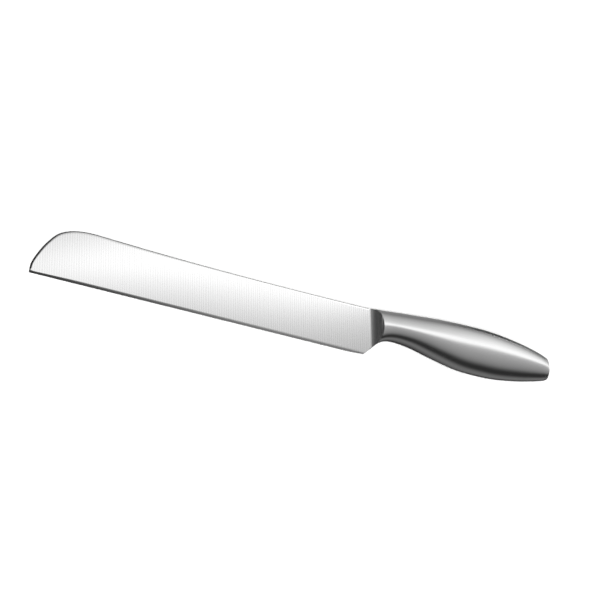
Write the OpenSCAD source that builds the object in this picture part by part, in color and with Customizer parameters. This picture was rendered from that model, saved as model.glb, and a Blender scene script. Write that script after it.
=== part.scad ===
// All-steel challah knife: a flat-ground blade with a high rounded nose and a straight cutting edge,
// and a fat seamless handle scooped out on both sides where it meets the blade.
// The knife lies on its side, on the nose and the swell of the handle: tip at -X, butt at +X, spine at +Y.
// All sizes are in millimetres.

/* [Blade] */
// Length of the cutting edge, from the tip to the heel corner
edge_len = 207.4; // [190:0.1:225]
// Height of the blade at its waist, from the cutting edge to the spine
waist_h = 28.9; // [27:0.1:31]
// How much higher than the waist the top of the nose stands
nose_rise = 2.2; // [0.5:0.1:4]
// Length of the rounded nose along the edge
nose_len = 34; // [28:1:42]
// Thickness of the steel at the spine
spine_t = 2.2; // [1.8:0.1:3]
// Thickness that the flat-ground flanks would have at the cutting edge without the bevel
flank_edge_t = 0.9; // [0.6:0.1:1.2]
// Height of the honed bevel along the cutting edge
bevel_h = 1.2; // [0.8:0.1:2]
// Thickness left along the cutting edge
cutting_t = 0.25; // [0.15:0.05:0.4]

/* [Bolster] */
// Lean of the bolster line, its top towards the tip, in degrees
bolster_lean = 8.5; // [0:0.5:12]
// Distance from the heel corner to the bolster line at the height of the handle's axis
bolster_back = 2.6; // [1:0.1:4]
// Radius of the cove that is scooped out of each side of the handle
cove_r = 9.8; // [8:0.1:11]
// Angle at which the cove leaves the flank, in degrees
cove_start = 17; // [10:1:20]
// Slope of the heel's straight run up to the handle, in degrees from the cutting edge
heel_slope = 44.5; // [38:0.5:48]

/* [Handle] */
// Length from the heel corner to the butt
handle_len = 129.8; // [115:0.1:145]
// Height of the handle at its fattest
handle_h = 29.9; // [28:0.1:32]
// Thickness of the handle at its fattest
handle_t = 21; // [18:0.5:24]
// Height of the handle's axis above the cutting edge
axis_h = 19.8; // [19:0.1:20.6]
// Radius of the rounded rim of the butt
butt_r = 1.4; // [1:0.1:2]
// Lean of the butt, its top towards the tip, in degrees
butt_lean = 8; // [0:0.5:10]

/* [Hidden] */
$fn = 96;

// The heel end of the edge curls up a little, out of the straight
heel_lift = 0.6;
heel_lift_run = 10;

// The spine is lowest at the waist, and rises a little from there to the bolster
nose_h = waist_h + nose_rise;
waist_share = 0.68;
waist_at = waist_share * edge_len;
spine_end_rise = 0.5;

// Half the thickness of the blade between its flanks at a height above the cutting edge
flank_slope = (spine_t - flank_edge_t) / 2 / waist_h;
function flank_half(h) = flank_edge_t / 2 + flank_slope * h;

// Height of the spine above the cutting edge
function spine_h(x) = x < waist_at
    ? waist_h + nose_rise * pow((waist_at - x) / (waist_at - nose_len), 2)
    : waist_h + spine_end_rise * pow((x - waist_at) / (edge_len - waist_at), 2);

// Cubic blend between two values with the slopes that the curve has at each
function blend(from, to, slope_from, slope_to, s) = from * (1 - 3 * s * s + 2 * s * s * s)
    + to * (3 * s * s - 2 * s * s * s)
    + slope_from * (s - 2 * s * s + s * s * s)
    + slope_to * (s * s * s - s * s);

// The nose: upright at the tip, then a long slope and a round shoulder up to the spine.
// Knots are shares of its length and height.
nose_knots = [
    [0, 0], [0.012, 0.19], [0.097, 0.415], [0.215, 0.637], [0.371, 0.836], [0.574, 0.945], [0.79, 0.99], [1, 1]
];
nose_steps = 5;
function nose_slope(i) = let (last = len(nose_knots) - 1, a = max(i - 1, 0), b = min(i + 1, last))
    (nose_knots[b] - nose_knots[a]) / (b - a);
nose = [
    for (i = [0 : len(nose_knots) - 2], k = [0 : nose_steps - 1]) let (
        p = blend(nose_knots[i], nose_knots[i + 1], nose_slope(i), nose_slope(i + 1), k / nose_steps)
    ) [nose_len * p[0], nose_h * p[1]]
];

// Side view of the blade. Its tang ends inside the handle's neck, above the heel's straight run.
spine_steps = 18;
tang_len = 4.5;
tang_low = heel_lift + tang_len * tan(heel_slope);
blade_outline = concat(
    nose,
    [for (i = [0 : spine_steps]) let (x = nose_len + (edge_len - nose_len) * i / spine_steps) [x, spine_h(x)]],
    [[edge_len + tang_len, tang_low], [edge_len, heel_lift], [edge_len - heel_lift_run, 0]]
);

// Stations along the handle: place as a share of its length, then the reach up, the reach down and
// the half thickness there, as shares of half the handle's greatest height and thickness.
// The first three follow the heel's straight run, and the rest swell to the belly and fall to the butt.
half_h = handle_h / 2;
half_t = handle_t / 2;
run_x = 9;
function heel_reach(x) = (axis_h - heel_lift - x * tan(heel_slope)) / half_h;
handle_stations = [
    [0, (spine_h(edge_len) - axis_h) / half_h, heel_reach(0), 0.60],
    [run_x / 2 / handle_len, 0.685, heel_reach(run_x / 2), 0.62],
    [run_x / handle_len, 0.71, heel_reach(run_x), 0.64],
    [0.11, 0.74, 0.52, 0.67],
    [0.165, 0.79, 0.47, 0.72],
    [0.245, 0.845, 0.53, 0.79],
    [0.375, 0.935, 0.765, 0.90],
    [0.505, 0.975, 0.965, 0.98],
    [0.615, 0.98, 1.00, 1.00],
    [0.715, 0.93, 0.965, 0.97],
    [0.845, 0.785, 0.795, 0.86],
    [0.94, 0.625, 0.61, 0.70],
    [0.985, 0.52, 0.50, 0.56],
    [1, 0.47, 0.44, 0.50]
];

// Smooth curve through one column of the stations
function column_slope(i, c) = let (
    a = max(i - 1, 0),
    b = min(i + 1, len(handle_stations) - 1)
) (handle_stations[b][c] - handle_stations[a][c]) / (handle_stations[b][0] - handle_stations[a][0]);
function station_before(u) = max([for (i = [0 : len(handle_stations) - 2]) handle_stations[i][0] <= u ? i : 0]);
function reach(u, c) = let (
    i = station_before(u),
    w = handle_stations[i + 1][0] - handle_stations[i][0],
    s = (u - handle_stations[i][0]) / w
) blend(handle_stations[i][c], handle_stations[i + 1][c], column_slope(i, c) * w, column_slope(i + 1, c) * w, s);

// Rings of the handle, closer together at the neck, and on a quarter round at the butt.
// Each ring is its distance behind the heel corner and how far the rim draws it in.
sides = 48;
neck_rings = 14;
body_rings = 34;
rim_rings = 5;
neck_run = 0.16 * handle_len;
body_run = handle_len - butt_r - neck_run;
rings = concat(
    [for (i = [0 : neck_rings - 1]) [neck_run * i / neck_rings, 0]],
    [for (i = [0 : body_rings - 1]) [neck_run + body_run * i / body_rings, 0]],
    [for (i = [0 : rim_rings]) let (a = 90 * i / rim_rings)
        [handle_len - butt_r * (1 - sin(a)), butt_r * (1 - cos(a))]]
);

// The section is a superellipse, a little squarer at the belly than at the neck. Where it reaches further
// up than down, its crest runs only this share of the way from the handle's axis to its middle.
neck_power = 2;
belly_power = 2.2;
crest_share = 0.4;
function power_at(u) = blend(neck_power, belly_power, 0, 0, min(1, 2 * u));
function bulge(v, n) = sign(v) * pow(abs(v), 2 / n);

// The rings take up the lean of the butt only in the last part of the handle
lean_onset = 8;
function lean_at(u) = tan(butt_lean) * pow(u, lean_onset);

function half_thickness(ring) = half_t * reach(ring[0] / handle_len, 3) - ring[1];
function ring_point(ring, a) = let (
    u = ring[0] / handle_len,
    up = half_h * reach(u, 1) - ring[1],
    down = half_h * reach(u, 2) - ring[1],
    s = bulge(sin(a), power_at(u)),
    rise = (up + down) / 2 * s + (up - down) / 2 * (crest_share + (1 - crest_share) * s * s)
) [
    edge_len + ring[0] - rise * lean_at(u),
    axis_h + rise,
    half_thickness(ring) * bulge(cos(a), power_at(u))
];

// How the knife comes to rest: the nose and the swell of the handle touch the surface
nose_touch_share = 0.6;
nose_touch = flank_half(nose_h * nose_touch_share);
rest_tilt = atan(max([for (r = rings) (half_thickness(r) - nose_touch) / (edge_len + r[0])]));
handle_points = [for (r = rings, k = [0 : sides - 1]) ring_point(r, 360 * k / sides)];
nose_rims = [for (p = nose, side = [-1, 1]) [p[0], p[1], side * flank_half(p[1])]];
resting = [for (p = concat(handle_points, nose_rims)) [
    p[0] * cos(rest_tilt) - p[2] * sin(rest_tilt),
    p[1],
    p[0] * sin(rest_tilt) + p[2] * cos(rest_tilt)
]];
function axis_min(c) = min([for (p = resting) p[c]]);
function axis_max(c) = max([for (p = resting) p[c]]);

// Moves the middle of the resting knife to the origin, on the surface that it lies on
rest_move = [-(axis_min(0) + axis_max(0)) / 2, -(axis_min(1) + axis_max(1)) / 2, -axis_min(2)];

// Solid handle, from the heel corner to the butt, before the coves are scooped
module handle_blank() {
    count = len(rings);
    walls = [for (i = [0 : count - 2], k = [0 : sides - 1]) let (
        a = i * sides + k,
        b = i * sides + (k + 1) % sides
    ) [a, b, b + sides, a + sides]];
    front = [for (k = [0 : sides - 1]) sides - 1 - k];
    butt = [for (k = [0 : sides - 1]) (count - 1) * sides + k];
    polyhedron(handle_points, concat([front], walls, [butt]), convexity = 4);
}

// Blade blank, a little thicker than the spine until the flanks are ground
module blade_blank() {
    blank_t = spine_t + 1;
    translate([0, 0, -blank_t / 2]) linear_extrude(blank_t) polygon(blade_outline);
}

// What the grinder takes off one side: the flat flank up to the bolster line, and the cove that
// rises from it into the handle
module flank_and_cove() {
    reach_back = edge_len + 30;
    across = 150;
    deep = 30;
    centre = [-cove_r * sin(cove_start), cove_r * cos(cove_start)];
    clear = centre[0] + cove_r;
    translate([0, 0, flank_edge_t / 2])
    rotate([atan(flank_slope), 0, 0])
    translate([edge_len + bolster_back, axis_h, 0])
    rotate([0, 0, bolster_lean])
    rotate([90, 0, 0])
    translate([0, 0, -across / 2])
    linear_extrude(across) {
        translate([-reach_back, 0]) square([reach_back, deep]);
        intersection() {
            translate(centre) circle(cove_r);
            translate([-1, 0]) square([clear + 2, deep]);
        }
        translate([-1, centre[1]]) square([clear + 1, deep - centre[1]]);
    }
}

// What the hone takes off one side of the cutting edge
module bevel_cut() {
    over = 3;
    bevel_top = flank_half(bevel_h);
    slope = (bevel_top - cutting_t / 2) / bevel_h;
    translate([edge_len + over, 0, 0]) rotate([0, -90, 0]) linear_extrude(edge_len + 2 * over)
        polygon([
            [cutting_t / 2 - slope * over, -over],
            [bevel_top + slope * over, bevel_h + over],
            [bevel_top + 4 * over, bevel_h + over],
            [bevel_top + 4 * over, -over]
        ]);
}

module knife() {
    color([0.80, 0.80, 0.81])
    translate(rest_move)
    rotate([0, -rest_tilt, 0])
    difference() {
        union() {
            blade_blank();
            handle_blank();
        }
        for (side = [0, 1]) mirror([0, 0, side]) {
            flank_and_cove();
            bevel_cut();
        }
    }
}

knife();
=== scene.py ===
"""All-steel challah knife, lying on its side on a pale table.

Lengths are in metres and angles in radians. The knife is drawn in its own plane first, with the tip at
the origin, +X towards the butt, +Y towards the spine and +Z out of the upper flank, and is then laid to
rest.
"""

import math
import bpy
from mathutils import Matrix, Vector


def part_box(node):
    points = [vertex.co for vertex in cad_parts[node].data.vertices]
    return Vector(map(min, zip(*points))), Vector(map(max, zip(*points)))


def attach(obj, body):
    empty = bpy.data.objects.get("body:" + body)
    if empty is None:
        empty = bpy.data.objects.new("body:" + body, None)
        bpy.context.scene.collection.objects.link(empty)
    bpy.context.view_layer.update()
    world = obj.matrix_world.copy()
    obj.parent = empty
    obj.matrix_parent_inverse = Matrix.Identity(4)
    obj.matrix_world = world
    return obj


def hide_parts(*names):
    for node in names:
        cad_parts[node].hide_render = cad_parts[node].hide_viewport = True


bl_info = {
    "name": "Challah knife",
    "version": (1, 0, 0),
    "blender": (4, 5, 0),
    "location": "View3D > Sidebar > Challah knife",
    "description": "Builds an all-steel challah knife and the table that it lies on",
    "category": "Add Mesh",
}

import bpy
import numpy as np
from mathutils import Matrix, Vector

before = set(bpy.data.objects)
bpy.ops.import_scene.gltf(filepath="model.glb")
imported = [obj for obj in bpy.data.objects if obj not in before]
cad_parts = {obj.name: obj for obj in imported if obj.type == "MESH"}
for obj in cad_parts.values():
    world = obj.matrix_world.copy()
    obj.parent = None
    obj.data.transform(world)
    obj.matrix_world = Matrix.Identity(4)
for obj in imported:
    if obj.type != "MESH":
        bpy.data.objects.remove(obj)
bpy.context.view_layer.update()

MM = 0.001


class BladeShape(bpy.types.PropertyGroup):
    """Sizes of the blade."""

    edge_len: bpy.props.FloatProperty(
        name="Edge length", description="Cutting edge from the tip to the heel corner",
        default=207.4 * MM, unit="LENGTH",
    )
    waist_h: bpy.props.FloatProperty(
        name="Waist height", description="Height of the blade where it is lowest",
        default=28.9 * MM, unit="LENGTH",
    )
    nose_rise: bpy.props.FloatProperty(
        name="Nose rise", description="How much higher than the waist the nose stands",
        default=2.2 * MM, unit="LENGTH",
    )
    nose_len: bpy.props.FloatProperty(
        name="Nose length", description="Length of the rounded nose along the edge",
        default=34 * MM, unit="LENGTH",
    )
    spine_t: bpy.props.FloatProperty(
        name="Spine thickness", description="Thickness of the steel at the spine",
        default=2.2 * MM, unit="LENGTH",
    )
    flank_edge_t: bpy.props.FloatProperty(
        name="Flank thickness at the edge",
        description="Thickness that the flanks would have at the cutting edge without the bevel",
        default=0.9 * MM, unit="LENGTH",
    )
    bevel_h: bpy.props.FloatProperty(
        name="Bevel height", description="Height of the honed bevel along the edge",
        default=1.2 * MM, unit="LENGTH",
    )
    cutting_t: bpy.props.FloatProperty(
        name="Edge thickness", description="Thickness left along the cutting edge",
        default=0.25 * MM, unit="LENGTH",
    )
    rim_r: bpy.props.FloatProperty(
        name="Spine rounding", description="Radius that the rim of the spine is broken to",
        default=0.5 * MM, unit="LENGTH",
    )
    nose_rim_r: bpy.props.FloatProperty(
        name="Nose rounding", description="Radius that the rim of the nose is rounded to",
        default=1.1 * MM, unit="LENGTH",
    )


class HandleShape(bpy.types.PropertyGroup):
    """Sizes of the bolster and the handle."""

    bolster_lean: bpy.props.FloatProperty(
        name="Bolster lean", description="Lean of the bolster line, its top towards the tip",
        default=math.radians(8.5), subtype="ANGLE",
    )
    bolster_back: bpy.props.FloatProperty(
        name="Bolster setback",
        description="Heel corner to the bolster line at the height of the handle's axis",
        default=2.6 * MM, unit="LENGTH",
    )
    cove_r: bpy.props.FloatProperty(
        name="Cove radius", description="Radius of the cove scooped out of each side",
        default=9.8 * MM, unit="LENGTH",
    )
    cove_start: bpy.props.FloatProperty(
        name="Cove start", description="Angle at which the cove leaves the flank",
        default=math.radians(17), subtype="ANGLE",
    )
    heel_slope: bpy.props.FloatProperty(
        name="Heel slope", description="Slope of the heel's straight run from the cutting edge",
        default=math.radians(44.5), subtype="ANGLE",
    )
    handle_len: bpy.props.FloatProperty(
        name="Handle length", description="Heel corner to the butt",
        default=129.8 * MM, unit="LENGTH",
    )
    handle_h: bpy.props.FloatProperty(
        name="Handle height", description="Height of the handle at its fattest",
        default=29.9 * MM, unit="LENGTH",
    )
    handle_t: bpy.props.FloatProperty(
        name="Handle thickness", description="Thickness of the handle at its fattest",
        default=21 * MM, unit="LENGTH",
    )
    axis_h: bpy.props.FloatProperty(
        name="Axis height", description="Height of the handle's axis above the cutting edge",
        default=19.8 * MM, unit="LENGTH",
    )
    butt_r: bpy.props.FloatProperty(
        name="Butt rounding", description="Radius of the rounded rim of the butt",
        default=1.4 * MM, unit="LENGTH",
    )
    butt_lean: bpy.props.FloatProperty(
        name="Butt lean", description="Lean of the butt, its top towards the tip",
        default=math.radians(8), subtype="ANGLE",
    )


class Finishes(bpy.types.PropertyGroup):
    """Colours of the steel and of the table."""

    blade_steel: bpy.props.StringProperty(
        name="Blade steel", description="sRGB colour of the ground blade", default="#EDEDED",
    )
    edge_steel: bpy.props.StringProperty(
        name="Edge steel", description="sRGB colour of the honed bevel", default="#C3C3C3",
    )
    handle_steel: bpy.props.StringProperty(
        name="Handle steel", description="sRGB colour of the satin handle", default="#DDDDDD",
    )
    # The rim's dark grey is painted shade: it stands for the shadow and dark reflections along the rim of
    # the spine and nose.
    rim_painted_shade: bpy.props.StringProperty(
        name="Rim steel", description="sRGB colour of the matt rim of the spine and nose",
        default="#474747",
    )
    table: bpy.props.StringProperty(
        name="Table", description="sRGB colour of the table", default="#FCFCFC",
    )


# Lift of the cutting edge at the heel corner, the run before the corner that it takes, and the run of the
# straight slope behind the corner
HEEL_LIFT, HEEL_LIFT_RUN, HEEL_RUN = 0.6 * MM, 10 * MM, 9 * MM
# Where the spine is lowest, as a share of the edge, and its rise from there to the end of the edge
WAIST_AT, SPINE_END_RISE = 0.68, 0.5 * MM
# Power of the handle's section at the neck and from the middle on. 2 is an ellipse, and more is squarer.
NECK_POWER, BELLY_POWER = 2.0, 2.2
# The line of greatest thickness keeps this share of the way from the axis to the middle of the section
CREST_SHARE = 0.4
# Power by which the butt's lean sets in along the handle
LEAN_ONSET = 8
# Rounds in which the place and the height of a leaning handle point settle
POINT_ROUNDS = 8
# Tilt at which the knife rests, and the place of its plane's origin then
REST_TILT = math.radians(1.977)
REST_MOVE = (-168.864 * MM, -17.253 * MM, 0.869 * MM)

# Knots of the nose, as shares of its length and height
NOSE_KNOTS = np.array([
    (0, 0), (0.012, 0.19), (0.097, 0.415), (0.215, 0.637),
    (0.371, 0.836), (0.574, 0.945), (0.79, 0.99), (1, 1),
])


def cubic(start, end, slope_start, slope_end, s):
    """Cubic blend between two values with the slopes that the curve has at each."""
    return (
        start * (1 - 3 * s**2 + 2 * s**3)
        + end * (3 * s**2 - 2 * s**3)
        + slope_start * (s - 2 * s**2 + s**3)
        + slope_end * (s**3 - s**2)
    )


def smooth(s):
    """Rise from 0 to 1 with level ends."""
    return cubic(0, 1, 0, 0, np.clip(s, 0, 1))


def spine_height(x, blade):
    """Height of the spine above the cutting edge."""
    waist_at = WAIST_AT * blade.edge_len
    falling = blade.waist_h + blade.nose_rise * ((waist_at - x) / (waist_at - blade.nose_len)) ** 2
    rising = blade.waist_h + SPINE_END_RISE * ((x - waist_at) / (blade.edge_len - waist_at)) ** 2
    return np.where(x < waist_at, falling, rising)


def nose_curve(t, blade):
    """Points along the nose for t from 0 at the tip to 1 where the spine starts."""
    last = len(NOSE_KNOTS) - 1
    slopes = np.gradient(NOSE_KNOTS, axis=0)
    i = np.minimum((t * last).astype(int), last - 1)
    s = (t * last - i)[:, None]
    share = cubic(NOSE_KNOTS[i], NOSE_KNOTS[i + 1], slopes[i], slopes[i + 1], s)
    return share * [blade.nose_len, blade.waist_h + blade.nose_rise]


def handle_stations(blade, handle):
    """Place along the handle, reach up, reach down and half thickness, as shares of the greatest."""
    half_h = handle.handle_h / 2
    spine_up = (spine_height(blade.edge_len, blade) - handle.axis_h) / half_h

    def heel_reach(back):
        return (handle.axis_h - HEEL_LIFT - back * math.tan(handle.heel_slope)) / half_h

    return np.array([
        (0, spine_up, heel_reach(0), 0.60),
        (HEEL_RUN / 2 / handle.handle_len, 0.685, heel_reach(HEEL_RUN / 2), 0.62),
        (HEEL_RUN / handle.handle_len, 0.71, heel_reach(HEEL_RUN), 0.64),
        (0.11, 0.74, 0.52, 0.67),
        (0.165, 0.79, 0.47, 0.72),
        (0.245, 0.845, 0.53, 0.79),
        (0.375, 0.935, 0.765, 0.90),
        (0.505, 0.975, 0.965, 0.98),
        (0.615, 0.98, 1.00, 1.00),
        (0.715, 0.93, 0.965, 0.97),
        (0.845, 0.785, 0.795, 0.86),
        (0.94, 0.625, 0.61, 0.70),
        (0.985, 0.52, 0.50, 0.56),
        (1, 0.47, 0.44, 0.50),
    ])


class HandleForm:
    """The handle before the coves are scooped: its section at any distance behind the heel corner."""

    def __init__(self, blade, handle):
        self.blade, self.handle = blade, handle
        self.knots = handle_stations(blade, handle)
        steps = self.knots[2:] - self.knots[:-2]
        first, last = self.knots[1] - self.knots[0], self.knots[-1] - self.knots[-2]
        rises = np.vstack([first, steps, last])
        self.slopes = rises[:, 1:] / rises[:, :1]

    def reaches(self, back):
        """Reach up, reach down and half thickness at a distance behind the heel corner."""
        u = np.clip(back / self.handle.handle_len, 0, 1)
        i = np.clip(np.searchsorted(self.knots[:, 0], u, side="right") - 1, 0, len(self.knots) - 2)
        width = self.knots[i + 1, 0] - self.knots[i, 0]
        s = (u - self.knots[i, 0]) / width
        start, end = self.knots[i, 1:].T, self.knots[i + 1, 1:].T
        shares = cubic(start, end, self.slopes[i].T * width, self.slopes[i + 1].T * width, s)
        greatest = [[self.handle.handle_h], [self.handle.handle_h], [self.handle.handle_t]]
        return shares * np.array(greatest) / 2

    def point(self, back, angle, inset=0.0, lean=0.0):
        """Place in the plane and half thickness of the handle for an angle from -90 to 90 degrees.

        The line of points leans over by `lean` as the bolster does, and the butt's rim draws it in by
        `inset`. A leaning point's place follows from its height and the other way round, so both settle in
        a few rounds.
        """
        at = back
        for _ in range(POINT_ROUNDS):
            up, down, half = self.reaches(at) - inset
            square = cubic(NECK_POWER, BELLY_POWER, 0, 0, np.minimum(1, 2 * at / self.handle.handle_len))
            s = np.sign(angle) * np.abs(np.sin(angle)) ** (2 / square)
            rise = (up + down) / 2 * s + (up - down) / 2 * (CREST_SHARE + (1 - CREST_SHARE) * s**2)
            at = back - rise * np.tan(lean)
        thick = half * np.clip(np.cos(angle), 0, 1) ** (2 / square)
        butt = np.tan(self.handle.butt_lean) * np.clip(at / self.handle.handle_len, 0, 1) ** LEAN_ONSET
        return self.blade.edge_len + at - rise * butt, self.handle.axis_h + rise, thick


# Points of a line across the knife, and how many of them lie on the bevel and on the rim
COLUMNS, BEVEL_POINTS, RIM_POINTS = 49, 5, 5
# Lines along the nose, the spine and the heel, then the cove, the start of the neck, the body and the butt
NOSE_LINES, SPINE_LINES, HEEL_LINES = 57, 64, 9
COVE_LINES, NECK_LINES, BODY_LINES, BUTT_LINES = 25, 9, 97, 8
# The nose's lines crowd towards the tip by this power
TIP_CROWDING = 1.3
# The blade's last line stands this far before the bolster line, and the neck's start is this long
BOLSTER_GAP, NECK_RUN = 1.2 * MM, 3 * MM
# Bevel and rim shrink where the blade is lower than this, at the tip
TIP_H = 3 * MM
# The nose's rounding starts to fade into the spine's here, over this run, as shares of the nose's length
RIM_FADE_FROM, RIM_FADE_RUN = 0.45, 3.5
# Rounds in which a leaning line of the blade settles, and halvings that find the cove's end
LINE_ROUNDS, HALVINGS = 6, 40
# Keeps a divisor off nought
TINY = 1e-9


def blade_row(foot, head, inward, rim, bevel_h):
    """One line of points across the blade, from the cutting edge to the rim.

    Returns the points and each one's distance from the rim.
    """
    length = head[1] - foot[1]
    squeeze = min(1.0, length / TIP_H)
    heights = np.linspace(0, 1, BEVEL_POINTS) * bevel_h * squeeze
    start = [foot + (head - foot) * (height / max(length, TINY)) for height in heights]
    depths = rim * squeeze * (1 - np.cos(np.linspace(0, math.pi / 2, RIM_POINTS)))
    close = [head + inward * d for d in depths[::-1]]
    middle_count = COLUMNS - BEVEL_POINTS - RIM_POINTS
    shares = np.linspace(0, 1, middle_count + 2)[1:-1, None]
    middle = start[-1] + (close[0] - start[-1]) * shares
    points = np.vstack([start, middle, close])
    depth = np.concatenate([np.full(COLUMNS - RIM_POINTS, rim), depths[::-1] / max(squeeze, TINY)])
    return points, depth


def inward_normals(path):
    """Unit vectors at right angles to a path, to its right when it is followed."""
    along = np.gradient(path, axis=0)
    along /= np.maximum(np.linalg.norm(along, axis=1, keepdims=True), TINY)
    return np.stack([along[:, 1], -along[:, 0]], axis=1)


def heel_foot(x, blade, handle):
    """Height of the lower outline near the heel."""
    lift = HEEL_LIFT * np.clip((x - blade.edge_len + HEEL_LIFT_RUN) / HEEL_LIFT_RUN, 0, 1)
    run = np.maximum(x - blade.edge_len, 0) * math.tan(handle.heel_slope)
    return lift + run


def blade_rows(blade, handle):
    """Lines of points across the blade from the tip to just before the bolster line."""
    lean = math.tan(handle.bolster_lean)
    t = np.linspace(0, 1, NOSE_LINES) ** TIP_CROWDING
    nose = nose_curve(t, blade)
    nose_end_foot = blade.nose_len + lean * nose[-1, 1]
    nose_feet = np.stack([nose_end_foot * t, np.zeros_like(t)], axis=1)

    # Beyond the nose the lines lean as the bolster does. One of them ends on the heel corner.
    heel_line = blade.edge_len + (HEEL_LIFT - handle.axis_h) * lean
    bolster_line = blade.edge_len + handle.bolster_back
    nose_line = nose_end_foot - handle.axis_h * lean
    lines = np.concatenate([
        np.linspace(nose_line, heel_line, SPINE_LINES)[1:],
        np.linspace(heel_line, bolster_line - BOLSTER_GAP, HEEL_LINES)[1:],
    ])
    feet_x = lines + handle.axis_h * lean
    heads_x = lines
    for _ in range(LINE_ROUNDS):
        feet_x = lines + (handle.axis_h - heel_foot(feet_x, blade, handle)) * lean
        heads_x = lines + (handle.axis_h - spine_height(heads_x, blade)) * lean
    feet = np.vstack([nose_feet, np.stack([feet_x, heel_foot(feet_x, blade, handle)], axis=1)])
    heads = np.vstack([nose, np.stack([heads_x, spine_height(heads_x, blade)], axis=1)])
    inward = inward_normals(heads)
    fade = smooth((heads[:, 0] - RIM_FADE_FROM * blade.nose_len) / (RIM_FADE_RUN * blade.nose_len))
    rims = blade.nose_rim_r + (blade.rim_r - blade.nose_rim_r) * fade
    rows = [blade_row(f, h, n, r, blade.bevel_h) for f, h, n, r in zip(feet, heads, inward, rims)]
    return np.array([r[0] for r in rows]), np.array([r[1] for r in rows]), rims


def cove_edge(form, angle, blade, handle):
    """Distance behind the heel corner at which the cove runs out into the side of the handle."""
    lean = handle.bolster_lean
    slope = (blade.spine_t - blade.flank_edge_t) / 2 / blade.waist_h
    offset = handle.cove_r * math.sin(handle.cove_start)
    low = np.full_like(angle, handle.bolster_back)
    high = low + (handle.cove_r - offset) / math.cos(lean)
    for _ in range(HALVINGS):
        middle = (low + high) / 2
        _, y, thick = form.point(middle, angle, 0.0, lean)
        behind = np.minimum((middle - handle.bolster_back) * math.cos(lean) + offset, handle.cove_r)
        rise = handle.cove_r * math.cos(handle.cove_start) - np.sqrt(handle.cove_r**2 - behind**2)
        floor = blade.flank_edge_t / 2 + slope * y + rise
        inside = floor < thick
        low, high = np.where(inside, middle, low), np.where(inside, high, middle)
    return (low + high) / 2


def handle_rows(blade, handle):
    """Lines of points across the handle, from the bolster line to the butt."""
    form = HandleForm(blade, handle)
    angle = np.linspace(-math.pi / 2, math.pi / 2, COLUMNS)
    start = np.full(COLUMNS, handle.bolster_back)
    edge = cove_edge(form, angle, blade, handle)
    clear = float(edge.max()) + NECK_RUN
    body_end = handle.handle_len - handle.butt_r
    rows = [(start + (edge - start) * s, 0.0, handle.bolster_lean) for s in np.linspace(0, 1, COVE_LINES)]
    for s in np.linspace(0, 1, NECK_LINES)[1:]:
        rows.append((edge + (clear - edge) * s, 0.0, handle.bolster_lean))
    for s in np.linspace(0, 1, BODY_LINES)[1:]:
        # The lines straighten up over the first half of the body
        lean = handle.bolster_lean * (1 - smooth(2 * s))
        rows.append((np.full(COLUMNS, clear + (body_end - clear) * s), 0.0, lean))
    for a in np.linspace(0, math.pi / 2, BUTT_LINES)[1:]:
        back = body_end + handle.butt_r * math.sin(a)
        rows.append((np.full(COLUMNS, back), handle.butt_r * (1 - math.cos(a)), 0.0))
    places, thicks, behinds = [], [], []
    for back, inset, lean in rows:
        x, y, thick = form.point(back, angle, inset, lean)
        line = blade.edge_len + handle.bolster_back + (handle.axis_h - y) * math.tan(handle.bolster_lean)
        places.append(np.stack([x, y], axis=1))
        thicks.append(thick)
        behinds.append((x - line) * math.cos(handle.bolster_lean))
    return np.array(places), np.array(thicks), np.maximum(behinds, 0)


def flat_blank(blade, handle):
    """Closed, flat blank of the whole knife: an upper and a lower sheet joined along the outline.

    Its points carry what the grinding rules need: which side they are on, how thick the handle is there,
    how far behind the bolster line they lie, and how far from the rim of the blade.
    """
    blade_xy, blade_depth, rims = blade_rows(blade, handle)
    handle_xy, swell, behind = handle_rows(blade, handle)
    xy = np.concatenate([blade_xy, handle_xy])
    rows, sheet = len(xy), len(xy) * COLUMNS

    def each_point(on_blade, on_handle):
        on_blade = np.broadcast_to(on_blade, blade_xy.shape[:2])
        on_handle = np.broadcast_to(on_handle, handle_xy.shape[:2])
        return np.concatenate([on_blade, on_handle]).reshape(-1)

    facts = {
        "swell": each_point(0.0, swell),
        "behind": each_point(-1.0, behind),
        "rim_depth": each_point(blade_depth, 0.0),
        "rim_round": each_point(rims[:, None], 0.0),
        "grip": each_point(0.0, 1.0),
    }
    flat = np.zeros((sheet, 3))
    flat[:, :2] = xy.reshape(-1, 2)
    index = np.arange(sheet).reshape(rows, COLUMNS)
    under = index + sheet
    corners = [index[:-1, :-1], index[1:, :-1], index[1:, 1:], index[:-1, 1:]]
    top = np.stack(corners, axis=-1).reshape(-1, 4)
    bottom = top[:, ::-1] + sheet
    foot = np.stack([index[:-1, 0], under[:-1, 0], under[1:, 0], index[1:, 0]], axis=-1)
    back = np.stack([index[1:, -1], under[1:, -1], under[:-1, -1], index[:-1, -1]], axis=-1)
    butt = np.stack([index[-1, :-1], under[-1, :-1], under[-1, 1:], index[-1, 1:]], axis=-1)
    faces = np.vstack([top, bottom, foot, back, butt])
    mesh = bpy.data.meshes.new("blank")
    mesh.from_pydata(np.vstack([flat, flat]).tolist(), [], faces.tolist())
    both_sheets = {name: np.concatenate([values, values]) for name, values in facts.items()}
    both_sheets["side"] = np.repeat([1.0, -1.0], sheet)
    for name, values in both_sheets.items():
        layer = mesh.attributes.new(name, "FLOAT", "POINT")
        layer.data.foreach_set("value", values.astype(np.float32))
    return mesh


def set_inputs(tree, node, inputs):
    """Links or sets a node's inputs, by name or in order. A node given is linked by its first output."""
    for key, value in inputs.items() if isinstance(inputs, dict) else enumerate(inputs):
        if isinstance(value, bpy.types.Node):
            value = value.outputs[0]
        if isinstance(value, bpy.types.NodeSocket):
            tree.links.new(value, node.inputs[key])
        else:
            node.inputs[key].default_value = value


def add_node(tree, kind, inputs=(), **settings):
    """Adds a node with its own settings and its inputs."""
    made = tree.nodes.new(kind)
    for name, value in settings.items():
        setattr(made, name, value)
    set_inputs(tree, made, inputs)
    return made


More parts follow.
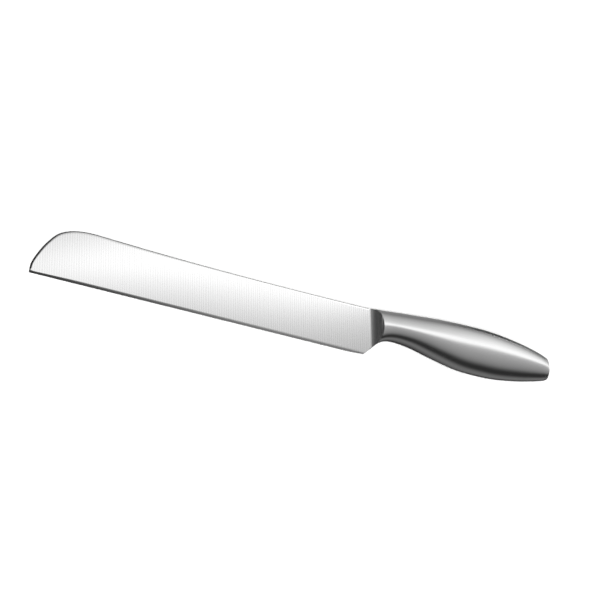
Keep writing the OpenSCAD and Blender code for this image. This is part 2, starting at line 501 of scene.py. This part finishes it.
GRIND_INPUTS = (
    ("Spine thickness", "spine_t"),
    ("Flank edge thickness", "flank_edge_t"),
    ("Blade height", "waist_h"),
    ("Bevel height", "bevel_h"),
    ("Cutting thickness", "cutting_t"),
)
COVE_INPUTS = (("Cove radius", "cove_r"), ("Cove start", "cove_start"))
BLANK_FACTS = ("swell", "behind", "rim_depth", "rim_round", "grip", "side")
# The grinder's rules, one Math node each: its result, its operation, and what it works on
GRIND_RULES = (
    # The flanks taper evenly from the spine to the edge
    ("half spine", "MULTIPLY", "Spine thickness", 0.5),
    ("half edge", "MULTIPLY", "Flank edge thickness", 0.5),
    ("half cut", "MULTIPLY", "Cutting thickness", 0.5),
    ("gain", "SUBTRACT", "half spine", "half edge"),
    ("taper", "DIVIDE", "gain", "Blade height"),
    ("flank", "MULTIPLY_ADD", "height", "taper", "half edge"),
    # The bevel runs from them to the cutting edge
    ("bevel top", "MULTIPLY_ADD", "Bevel height", "taper", "half edge"),
    ("bevel gain", "SUBTRACT", "bevel top", "half cut"),
    ("bevel taper", "DIVIDE", "bevel gain", "Bevel height"),
    ("bevel", "MULTIPLY_ADD", "height", "bevel taper", "half cut"),
    ("ground", "MINIMUM", "flank", "bevel"),
    # The rim is rounded off by a circle
    ("short of", "SUBTRACT", "rim_round", "rim_depth"),
    ("round squared", "POWER", "rim_round", 2.0),
    ("short squared", "POWER", "short of", 2.0),
    ("arc squared", "SUBTRACT", "round squared", "short squared"),
    ("arc kept", "MAXIMUM", "arc squared", 0.0),
    ("arc", "SQRT", "arc kept"),
    ("rim loss", "SUBTRACT", "rim_round", "arc"),
    ("rounded", "SUBTRACT", "ground", "rim loss"),
    ("on blade", "MAXIMUM", "rounded", "half cut"),
    # The cove is a circle too. It leaves the flank at an angle and ends in the side of the handle.
    ("start sine", "SINE", "Cove start"),
    ("around", "MULTIPLY_ADD", "Cove radius", "start sine", "behind"),
    ("inside", "MINIMUM", "around", "Cove radius"),
    ("radius squared", "POWER", "Cove radius", 2.0),
    ("inside squared", "POWER", "inside", 2.0),
    ("bow squared", "SUBTRACT", "radius squared", "inside squared"),
    ("bow kept", "MAXIMUM", "bow squared", 0.0),
    ("bow", "SQRT", "bow kept"),
    ("start cosine", "COSINE", "Cove start"),
    ("lowest", "MULTIPLY", "Cove radius", "start cosine"),
    ("cove", "SUBTRACT", "lowest", "bow"),
    ("past", "GREATER_THAN", "around", "Cove radius"),
    ("cove floor", "ADD", "flank", "cove"),
    ("scooped", "ADD", "cove floor", "past"),
    ("on handle", "MINIMUM", "swell", "scooped"),
    # Blade or handle, on the upper or the lower side
    ("off grip", "SUBTRACT", 1.0, "grip"),
    ("blade kept", "MULTIPLY", "on blade", "off grip"),
    ("half", "MULTIPLY_ADD", "on handle", "grip", "blade kept"),
    ("lift", "MULTIPLY", "half", "side"),
    # Where the blade's finishes lie. The matt rim, dark with painted shade, takes the outer four fifths of
    # the rounding.
    ("on flank", "LESS_THAN", "behind", 0.0),
    ("low", "LESS_THAN", "height", "Bevel height"),
    ("near edge", "MULTIPLY", "on flank", "low"),
    ("round kept", "MAXIMUM", "rim_round", 0.01 * MM),
    ("rim share", "DIVIDE", "rim_depth", "round kept"),
    ("outer rim", "LESS_THAN", "rim share", 0.8),
    ("rim shade", "MULTIPLY", "on flank", "outer rim"),
)
# Points closer than this are merged, and edges that bend more than this stay crisp
WELD, CRISP_BEND = 0.002 * MM, math.radians(24)


def grinding_tree(finishes):
    """Geometry nodes that raise the flat blank into the solid by the rules that the grinder follows."""
    tree = bpy.data.node_groups.new("Knife grinding", "GeometryNodeTree")
    tree.interface.new_socket("Geometry", in_out="INPUT", socket_type="NodeSocketGeometry")
    for name, _ in GRIND_INPUTS + COVE_INPUTS:
        tree.interface.new_socket(name, in_out="INPUT", socket_type="NodeSocketFloat")
    tree.interface.new_socket("Geometry", in_out="OUTPUT", socket_type="NodeSocketGeometry")
    known = {socket.name: socket for socket in add_node(tree, "NodeGroupInput").outputs}
    for name in BLANK_FACTS:
        known[name] = add_node(tree, "GeometryNodeInputNamedAttribute", {"Name": name}, data_type="FLOAT")
    place = add_node(tree, "GeometryNodeInputPosition")
    known["height"] = add_node(tree, "ShaderNodeSeparateXYZ", [place]).outputs["Y"]
    for result, operation, *values in GRIND_RULES:
        values = [known.get(value, value) for value in values]
        known[result] = add_node(tree, "ShaderNodeMath", values, operation=operation, label=result)

    lift = add_node(tree, "ShaderNodeCombineXYZ", {"Z": known["lift"]})
    raised = add_node(tree, "GeometryNodeSetPosition", {"Geometry": known["Geometry"], "Offset": lift})
    closed = add_node(tree, "GeometryNodeMergeByDistance", {"Geometry": raised, "Distance": WELD})
    polished = add_node(tree, "GeometryNodeSetShadeSmooth", {"Geometry": closed, "Shade Smooth": True})
    bend = add_node(tree, "GeometryNodeInputMeshEdgeAngle").outputs["Unsigned Angle"]
    crisp = add_node(tree, "ShaderNodeMath", [bend, CRISP_BEND], operation="GREATER_THAN")
    creased = add_node(
        tree, "GeometryNodeSetShadeSmooth",
        {"Geometry": polished, "Selection": crisp, "Shade Smooth": False}, domain="EDGE",
    )
    finished = add_node(tree, "GeometryNodeRealizeInstances", {"Geometry": creased})
    for finish, chosen in zip(finishes, (True, known["on flank"], known["near edge"], known["rim shade"])):
        finished = add_node(
            tree, "GeometryNodeSetMaterial", {"Geometry": finished, "Selection": chosen, "Material": finish}
        )
    add_node(tree, "NodeGroupOutput", {"Geometry": finished})
    return tree


def linear(code):
    """Linear colour of an sRGB hex code."""
    parts = [int(code[i:i + 2], 16) / 255 for i in (1, 3, 5)]
    return (*(c / 12.92 if c <= 0.04045 else ((c + 0.055) / 1.055) ** 2.4 for c in parts), 1.0)


def new_material(name, kind="ShaderNodeBsdfPrincipled"):
    """Empty material with its output and one shader."""
    made = bpy.data.materials.new(name)
    made.use_nodes = True
    tree = made.node_tree
    tree.nodes.clear()
    shader = add_node(tree, kind)
    add_node(tree, "ShaderNodeOutputMaterial", {"Surface": shader})
    return made, tree, shader


def streaks(tree, turn, size, detail=2.0):
    """Noise drawn out into streaks along +Y, turned by `turn`.

    `size` holds their real width, length and depth.
    """
    where = add_node(tree, "ShaderNodeTexCoord").outputs["Object"]
    laid = add_node(
        tree, "ShaderNodeMapping", {"Vector": where, "Rotation": (0, 0, turn), "Scale": size},
        vector_type="TEXTURE",
    )
    return add_node(
        tree, "ShaderNodeTexNoise", {"Vector": laid, "Scale": 1.0, "Detail": detail, "Roughness": 0.6}
    )


def grit_lines(tree, turn, pitch):
    """Even grinding lines along +Y, turned by `turn`, with a real distance from one to the next."""
    where = add_node(tree, "ShaderNodeTexCoord").outputs["Object"]
    # The wave texture has 20 waves in a length of 2 pi. Along the lines its wobble is eight times longer.
    reach = pitch * 20 / (2 * math.pi)
    size = (reach, 8 * reach, 8 * reach)
    laid = add_node(
        tree, "ShaderNodeMapping", {"Vector": where, "Rotation": (0, 0, turn), "Scale": size},
        vector_type="TEXTURE",
    )
    return add_node(
        tree, "ShaderNodeTexWave",
        {"Vector": laid, "Scale": 1.0, "Distortion": 2.5, "Detail": 2.0, "Detail Scale": 1.5},
        wave_type="BANDS", bands_direction="X", wave_profile="SIN",
    ).outputs["Fac"]


# Height of the scratches that polishing leaves, for the bump of each finish
SCRATCH = 0.02 * MM


def blade_steel(handle, finishes):
    """Stainless blade steel, belt-ground across its width.

    It is bright, with fine lines that spread a light sideways.
    """
    made, tree, shader = new_material("blade_steel_cross_ground")
    lean = handle.bolster_lean
    # The real grit lines are about 0.1 mm apart. They are drawn 1.4 mm apart so that they still show.
    lines = grit_lines(tree, lean, 1.4 * MM)
    fine = streaks(tree, lean, (0.5 * MM, 60 * MM, 60 * MM))
    mixed = add_node(tree, "ShaderNodeMath", [fine, 0.8, lines], operation="MULTIPLY_ADD")
    shade = add_node(
        tree, "ShaderNodeMapRange",
        {"Value": mixed, "From Min": 0.25, "From Max": 1.2, "To Min": 0.915, "To Max": 1.0},
    )
    steel = linear(finishes.blade_steel)[:3]
    set_inputs(tree, shader, {
        "Base Color": add_node(
            tree, "ShaderNodeVectorMath", {0: steel, "Scale": shade}, operation="SCALE"
        ),
        "Metallic": 1.0,
        "Roughness": 0.15,
        "Anisotropic": 0.9,
        "Tangent": add_node(tree, "ShaderNodeCombineXYZ", [math.cos(lean), math.sin(lean), 0.0]),
        "Normal": add_node(tree, "ShaderNodeBump", {"Height": mixed, "Strength": 0.2, "Distance": SCRATCH}),
    })
    return made


def edge_steel(finishes):
    """Bevel honed lengthwise after grinding.

    It is a little greyer than the flank and reads as a thin dark line.
    """
    made, tree, shader = new_material("edge_steel_honed")
    lines = streaks(tree, math.pi / 2, (0.3 * MM, 15 * MM, 15 * MM))
    set_inputs(tree, shader, {
        "Base Color": linear(finishes.edge_steel),
        "Metallic": 1.0,
        "Roughness": 0.16,
        "Normal": add_node(tree, "ShaderNodeBump", {"Height": lines, "Strength": 0.3, "Distance": SCRATCH}),
    })
    return made


def rim_painted_shade(finishes):
    """Rim of the spine and nose: matt and finely pitted, and dark grey as painted shade for the shadow and
    dark reflections along the rim.
    """
    made, tree, shader = new_material("painted_rim_shade")
    where = add_node(tree, "ShaderNodeTexCoord").outputs["Object"]
    pit = 0.4 * MM
    grain = add_node(tree, "ShaderNodeTexNoise", {"Vector": where, "Scale": 1 / pit, "Detail": 2.0})
    set_inputs(tree, shader, {
        # Painted shade: this dark grey stands for the rim's shadow and dark reflections.
        "Base Color": linear(finishes.rim_painted_shade),
        "Metallic": 1.0,
        "Roughness": 0.4,
        "Normal": add_node(tree, "ShaderNodeBump", {"Height": grain, "Strength": 0.3, "Distance": SCRATCH}),
    })
    return made


def handle_steel(finishes):
    """Pressed stainless shell, satin polished lengthwise: soft reflections with long faint streaks."""
    made, tree, shader = new_material("handle_steel_satin")
    lines = streaks(tree, math.pi / 2, (0.5 * MM, 25 * MM, 0.5 * MM), 3.0)
    set_inputs(tree, shader, {
        "Base Color": linear(finishes.handle_steel),
        "Metallic": 1.0,
        "Roughness": 0.19,
        "Normal": add_node(tree, "ShaderNodeBump", {"Height": lines, "Strength": 0.12, "Distance": SCRATCH}),
    })
    return made


def lay_to_rest(mesh):
    """Turns the finished mesh to its rest, on the solid model's place.

    The mesh is finer than the solid's facets and would stand out of their box by some 0.006 mm, so it is
    drawn in by that hair.
    """
    low, high = (np.array(corner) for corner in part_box("knife"))
    mesh.transform(Matrix.Rotation(-REST_TILT, 4, "Y"))
    spots = np.empty(len(mesh.vertices) * 3)
    mesh.vertices.foreach_get("co", spots)
    spots = spots.reshape(-1, 3)
    own_low, own_high = spots.min(axis=0), spots.max(axis=0)
    shrink = np.minimum(1, (high - low) / (own_high - own_low))
    move = (low + high) / 2 - shrink * (own_low + own_high) / 2
    move[2] = low[2] - shrink[2] * own_low[2]
    mesh.transform(Matrix.Translation(move) @ Matrix.Diagonal((*shrink, 1)))


class KNIFE_OT_build(bpy.types.Operator):
    """Build the knife: blade, bolster and handle in one piece of steel."""

    bl_idname = "challah.knife"
    bl_label = "Knife"

    def execute(self, context):
        scene = context.scene
        blade, handle, colours = scene.challah_blade, scene.challah_handle, scene.challah_finishes
        finishes = [
            handle_steel(colours), blade_steel(handle, colours), edge_steel(colours), rim_painted_shade(colours),
        ]
        blank = bpy.data.objects.new("blank", flat_blank(blade, handle))
        scene.collection.objects.link(blank)
        tree = grinding_tree(finishes)
        grind = blank.modifiers.new("Grinding", "NODES")
        grind.node_group = tree
        sockets = {s.name: s.identifier for s in tree.interface.items_tree if s.in_out == "INPUT"}
        for shape, sizes in ((blade, GRIND_INPUTS), (handle, COVE_INPUTS)):
            for name, size in sizes:
                grind[sockets[name]] = getattr(shape, size)
        context.view_layer.update()
        ready = blank.evaluated_get(context.evaluated_depsgraph_get())
        mesh = bpy.data.meshes.new_from_object(ready)
        mesh.name = "knife_body"
        blank.modifiers.remove(grind)
        bpy.data.objects.remove(blank)
        if not mesh.polygons:
            raise RuntimeError("the grinding nodes made no mesh")
        lay_to_rest(mesh)
        knife = bpy.data.objects.new("knife_body", mesh)
        scene.collection.objects.link(knife)
        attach(knife, "root")
        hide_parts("knife")
        return {"FINISHED"}


# What the steel reflects, as strengths of plain light. The far side of the tent is a lit white sweep that
# fades towards the table. The near side is grey overhead and black low down. Shares run up from the table
# to the edge of the white sweep, and from there over the top and down to the table in front.
FAR_SWEEP = ((0, 0.22), (0.25, 0.56), (0.5, 0.9), (0.7, 1.16), (0.85, 1.42), (1, 1.5))
NEAR_CLOTH = (
    (0, 0.6), (0.05, 0.53), (0.15, 0.44), (0.3, 0.35), (0.44, 0.26), (0.6, 0.08), (0.7, 0.03), (1, 0.025),
)
# The tables below go by the distance from the middle of the knife, towards its butt. First the edge of the
# white sweep, in degrees above the table behind.
EDGE_ALONG = (
    (-0.3, 81), (-0.16, 77.6), (-0.1, 76.3), (0.07, 74.5), (0.12, 73.7), (0.2, 72.5), (0.27, 72), (0.39, 72),
    (0.5, 72.1), (0.6, 70.8), (0.8, 67.8), (1.05, 65), (1.42, 61), (2, 50), (3, 45),
)
# The angle below which the sweep's tip end is dimmer, the degrees over which that sets in, and by how much
FOOT_ALONG = ((-0.1, 74.4), (0.08, 72.9), (0.15, 71.8), (0.25, 70.3), (0.45, 60))
FOOT_BLUR = 2.8
FOOT_DIM = ((0.38, 0.36), (0.78, 0))
# Both sides fade towards the tip's end of the tent, by these shares
SWEEP_ALONG = (
    (-1.2, 0.06), (-0.9, 0.095), (-0.65, 0.145), (-0.4, 0.24), (-0.2, 0.33), (-0.08, 0.5), (0.06, 0.96),
    (0.12, 1),
)
CLOTH_ALONG = ((-0.6, 0.1), (0, 0.14), (0.15, 0.28), (0.25, 0.6), (0.35, 1))
# Over the blade the edge is soft: its light falls off over these degrees past the edge
SOFT_EDGE = (
    (0, 1.35), (0.6, 1.14), (1.3, 0.98), (1.9, 0.88), (2.6, 0.78), (3.6, 0.64), (6, 0.4), (9, 0.2), (12, 0),
)
OVER_BLADE = ((-0.25, 0), (-0.05, 1), (0.54, 1), (0.66, 0))
# White panel in front, towards the tip's end: its light, its upper edge in degrees, and that edge's blur
FILL_ALONG = ((-0.1, 0.8), (0.1, 0))
FILL_TOP = ((-0.4, 98), (0, 114))
FILL_BLUR = 12
# Radius of the tent, its ends towards the tip and the butt, and the small hole that each end closes to
TENT_R, TENT_TIP_END, TENT_BUTT_END, TENT_HOLE_R = 1.2, -1.2, 3, 0.01

# Low card in front of the knife, seen only in reflections: its foot follows the outline, and it is black but
# for a grey band low down, which the underside of the handle shows. That grey band is a painted reflection
# of shade: it stands for the table in the handle's shadow.
FRONT_FOOT = [
    (x * MM, y * MM) for x, y in (
        (-210, -19), (39, -19), (52, -4.5), (66, -3.5), (86, -6), (115, -10.5), (135, -10.5), (155, -7.5),
        (175, -4), (210, -3),
    )
]
FRONT_HEAD, FRONT_H = -40 * MM, 28 * MM
# The grey band in these glows is painted shade, the table in the handle's shadow as the steel shows it.
FRONT_GLOWS = (
    (0, 0.02), (0.1, 0.04), (0.18, 0.14), (0.28, 0.21), (0.42, 0.15), (0.55, 0.08), (0.7, 0.035), (1, 0.03),
)
# Low card behind it, darkest behind the belly of the handle: a painted dark reflection of the table behind
# the knife, which the top of the handle shows
BACK_FOOT_Y, BACK_HEAD, BACK_H = 19 * MM, 50 * MM, 16 * MM
BACK_GLOWS = ((0, 0.2), (1, 0.14))
BACK_ALONG = (
    (96 * MM, 1.65), (116 * MM, 1.05), (123 * MM, 0.65), (146 * MM, 0.45), (160 * MM, 0.9), (172 * MM, 1.2),
)
# Dark card across the tip's end, so that the steep end of the cove sees no white table
END_X, END_HALF_W, END_H, END_GLOW = -190 * MM, 150 * MM, 60 * MM, 0.05
# The back card reaches this far on both sides of the middle, and every card stands just clear of the table
CARD_REACH, CARD_LIFT = 210 * MM, 0.5 * MM


def read_off(table, at):
    """Value of a table of places and values, between two of them too."""
    return np.interp(at, *zip(*table))


def glowing(name, rows, columns, place, glow):
    """Curved studio panel that shows only in reflections, with its own strength of light at each point."""
    points = [place(row, column) for row in rows for column in columns]
    wide = len(columns)
    faces = [
        (i * wide + k, i * wide + k + 1, (i + 1) * wide + k + 1, (i + 1) * wide + k)
        for i in range(len(rows) - 1) for k in range(wide - 1)
    ]
    mesh = bpy.data.meshes.new(name)
    mesh.from_pydata(points, [], faces)
    layer = mesh.attributes.new("glow", "FLOAT", "POINT")
    layer.data.foreach_set("value", [glow(row, column) for row in rows for column in columns])
    cloth, tree, light = new_material(name + "_cloth", "ShaderNodeEmission")
    strength = add_node(tree, "ShaderNodeAttribute", attribute_name="glow").outputs["Fac"]
    set_inputs(tree, light, {"Color": (1, 1, 1, 1), "Strength": strength})
    mesh.materials.append(cloth)
    panel = bpy.data.objects.new(name, mesh)
    bpy.context.scene.collection.objects.link(panel)
    panel.visible_camera = False
    panel.visible_diffuse = False
    panel.visible_shadow = False


def tent_light(angle, row, edge, x):
    """Strength of the tent's light at an angle above the table behind, in degrees.

    `row` tells where that is between the table and the edge of the white sweep, as in tent.
    """
    if row <= 0:
        low = 1 - float(smooth((angle - read_off(FOOT_ALONG, x)) / FOOT_BLUR + 0.5))
        dim = 1 - low * read_off(FOOT_DIM, x)
        return read_off(FAR_SWEEP, row + 1) * read_off(SWEEP_ALONG, x) * dim
    soft = read_off(SOFT_EDGE, angle - edge) * read_off(OVER_BLADE, x)
    cloth = read_off(NEAR_CLOTH, row) * read_off(CLOTH_ALONG, x)
    fill = read_off(FILL_ALONG, x) * np.clip((angle - read_off(FILL_TOP, x)) / FILL_BLUR, 0, 1)
    return max(soft, cloth, fill)


def tent():
    """Half-round tent along the knife.

    Its rows run from -1 at the table behind, by 0 at the edge of the white sweep, to 1 at the table in
    front. They lie closer together near that edge.
    """
    rows = [
        *np.linspace(-1, -0.1, 19), *np.linspace(-0.085, 0, 11),
        *np.linspace(0.0005, 0.08, 17), *np.linspace(0.1, 1, 37),
    ]
    columns = [
        *np.linspace(TENT_TIP_END, -0.35, 6), *np.linspace(-0.3, 1.6, 58),
        *np.linspace(1.8, TENT_BUTT_END, 5),
    ]
    closed = [columns[0] - MM, *columns, columns[-1] + MM]

    def angle_at(row, edge):
        return edge * (1 + row) if row <= 0 else edge + (180 - edge) * row

    def place(row, x):
        angle = math.radians(angle_at(row, read_off(EDGE_ALONG, x)))
        radius = TENT_R if closed[0] < x < closed[-1] else TENT_HOLE_R
        return x, radius * math.cos(angle), radius * math.sin(angle)

    def glow(row, x):
        edge = read_off(EDGE_ALONG, x)
        return tent_light(angle_at(row, edge), row, edge, x)

    glowing("tent", rows, closed, place, glow)


def low_card(name, foot, head, height, glows, along):
    """Low card along the knife, just off the table, that keeps the knife's own outline dark: it shows only
    in reflections, where it paints a darker table in place of the lit one.

    Its foot is a line of points beside the knife, and its head is straight. `glows` go by shares of its
    height, and `along` holds the shares of them that are left at places along the knife.
    """
    def place(row, point):
        x, y = point
        return x, y + (head - y) * row, CARD_LIFT + height * row

    def glow(row, point):
        return read_off(glows, row) * read_off(along, point[0])

    glowing(name, np.linspace(0, 1, 21), foot, place, glow)


def seen_directly(tree):
    """1 where the camera, a reflection or a transmission looks, and 0 for light that falls on the table."""
    rays = add_node(tree, "ShaderNodeLightPath").outputs
    seen = rays["Is Camera Ray"]
    for other in ("Is Glossy Ray", "Is Transmission Ray"):
        seen = add_node(tree, "ShaderNodeMath", [seen, rays[other]], operation="MAXIMUM")
    return seen


# Half the width of the table
TABLE_REACH = 20
# Where the table is seen, straight or in the steel, it is lifted by this much plain white, so that only a
# real shadow shows on it. The world is white where it is seen, and this dim as light on the table.
TABLE_LIFT, WORLD_LIGHT = 0.12, 0.15
# The lamp stands on the camera's side, so that the shadow falls behind the knife. Its light is even all over
# the table, at the level at which the table shows in its own colour.
LAMP_STRENGTH, LAMP_SOFTNESS = 3.2, math.radians(16)
LAMP_AIM = Vector((1.01, 0.84, -2.27))
# The camera looks down on the upper flank from beyond the tip and the edge. It is rolled so that the knife
# lies across the picture. Its aim is in the knife's own plane, and its focal length is in pixels.
CAMERA_TURN, CAMERA_HEIGHT, CAMERA_ROLL = math.radians(50), math.radians(60), math.radians(60.43)
CAMERA_AIM, CAMERA_DISTANCE = Vector((167.17, 25.1, -0.06)) * MM, 890.4 * MM
FOCAL_PX, PICTURE_PX = 1500, 615


class KNIFE_OT_stage(bpy.types.Operator):
    """Set the table, the lights and the camera."""

    bl_idname = "challah.stage"
    bl_label = "Table, lights and camera"

    def execute(self, context):
        scene = context.scene
        self.table(scene)
        self.lights(scene)
        self.cards()
        self.camera(scene)
        scene.view_settings.view_transform = "Standard"
        return {"FINISHED"}

    def table(self, scene):
        """Wide table with matt white paint."""
        mesh = bpy.data.meshes.new("table_top")
        corners = [(x * TABLE_REACH, y * TABLE_REACH, 0) for x, y in ((-1, -1), (1, -1), (1, 1), (-1, 1))]
        mesh.from_pydata(corners, [], [(0, 1, 2, 3)])
        paint, tree, shader = new_material("table_paint_matt")
        lift = add_node(tree, "ShaderNodeMath", [seen_directly(tree), TABLE_LIFT], operation="MULTIPLY")
        set_inputs(tree, shader, {
            "Base Color": linear(scene.challah_finishes.table),
            "Roughness": 1.0,
            "Specular IOR Level": 0.0,
            "Emission Color": (1, 1, 1, 1),
            "Emission Strength": lift,
        })
        mesh.materials.append(paint)
        table = bpy.data.objects.new("table_top", mesh)
        scene.collection.objects.link(table)

    def lights(self, scene):
        """World and lamp."""
        world = bpy.data.worlds.new("studio")
        scene.world = world
        world.use_nodes = True
        tree = world.node_tree
        tree.nodes.clear()
        strength = add_node(
            tree, "ShaderNodeMath", [seen_directly(tree), 1 - WORLD_LIGHT, WORLD_LIGHT],
            operation="MULTIPLY_ADD",
        )
        glow = add_node(tree, "ShaderNodeBackground", {"Color": (1, 1, 1, 1), "Strength": strength})
        add_node(tree, "ShaderNodeOutputWorld", {"Surface": glow})
        lamp = bpy.data.lights.new("overhead", "SUN")
        lamp.energy, lamp.angle = LAMP_STRENGTH, LAMP_SOFTNESS
        lit = bpy.data.objects.new("overhead", lamp)
        lit.rotation_euler = LAMP_AIM.to_track_quat("-Z", "Y").to_euler()
        lit.visible_glossy = False
        lit.visible_camera = False
        scene.collection.objects.link(lit)

    def cards(self):
        """Tent and cards, which show only in reflections."""
        tent()
        low_card("front_card", FRONT_FOOT, FRONT_HEAD, FRONT_H, FRONT_GLOWS, ((0, 1),))
        back_foot = [(x, BACK_FOOT_Y) for x in (-CARD_REACH, *(x for x, _ in BACK_ALONG), CARD_REACH)]
        low_card("back_card", back_foot, BACK_HEAD, BACK_H, BACK_GLOWS, BACK_ALONG)
        glowing(
            "end_card", [0, 1], [-END_HALF_W, END_HALF_W],
            lambda row, y: (END_X, y, CARD_LIFT + END_H * row), lambda row, y: END_GLOW,
        )

    def camera(self, scene):
        """Camera, placed in the knife's own plane and laid to rest with it."""
        turn, height, roll = CAMERA_TURN, CAMERA_HEIGHT, CAMERA_ROLL
        level_part = math.cos(height)
        back = Vector((-math.sin(turn) * level_part, -math.cos(turn) * level_part, math.sin(height)))
        level = Vector((0, 0, 1)).cross(back).normalized()
        upright = back.cross(level)
        right = level * math.cos(roll) + upright * math.sin(roll)
        up = upright * math.cos(roll) - level * math.sin(roll)
        pose = Matrix((right, up, back)).transposed().to_4x4()
        pose.translation = CAMERA_AIM + back * CAMERA_DISTANCE
        rest = Matrix.Translation(REST_MOVE) @ Matrix.Rotation(-REST_TILT, 4, "Y")
        seen = bpy.data.cameras.new("camera")
        seen.lens = FOCAL_PX / PICTURE_PX * seen.sensor_width
        camera = bpy.data.objects.new("camera", seen)
        camera.matrix_world = rest @ pose
        scene.collection.objects.link(camera)
        scene.camera = camera


class KNIFE_PT_panel(bpy.types.Panel):
    """Sizes, colours and steps of the challah knife."""

    bl_label = "Challah knife"
    bl_idname = "KNIFE_PT_panel"
    bl_space_type = "VIEW_3D"
    bl_region_type = "UI"
    bl_category = "Challah knife"

    def draw(self, context):
        for name in ("challah_blade", "challah_handle", "challah_finishes"):
            group = getattr(context.scene, name)
            for size in group.__annotations__:
                self.layout.prop(group, size)
        self.layout.operator(KNIFE_OT_build.bl_idname)
        self.layout.operator(KNIFE_OT_stage.bl_idname)


CLASSES = (BladeShape, HandleShape, Finishes, KNIFE_OT_build, KNIFE_OT_stage, KNIFE_PT_panel)


def register():
    for made in CLASSES:
        bpy.utils.register_class(made)
    bpy.types.Scene.challah_blade = bpy.props.PointerProperty(type=BladeShape)
    bpy.types.Scene.challah_handle = bpy.props.PointerProperty(type=HandleShape)
    bpy.types.Scene.challah_finishes = bpy.props.PointerProperty(type=Finishes)


def unregister():
    for name in ("challah_blade", "challah_handle", "challah_finishes"):
        delattr(bpy.types.Scene, name)
    for made in reversed(CLASSES):
        bpy.utils.unregister_class(made)


def main():
    register()
    bpy.ops.challah.knife()
    bpy.ops.challah.stage()


if __name__ == "__main__":
    main()
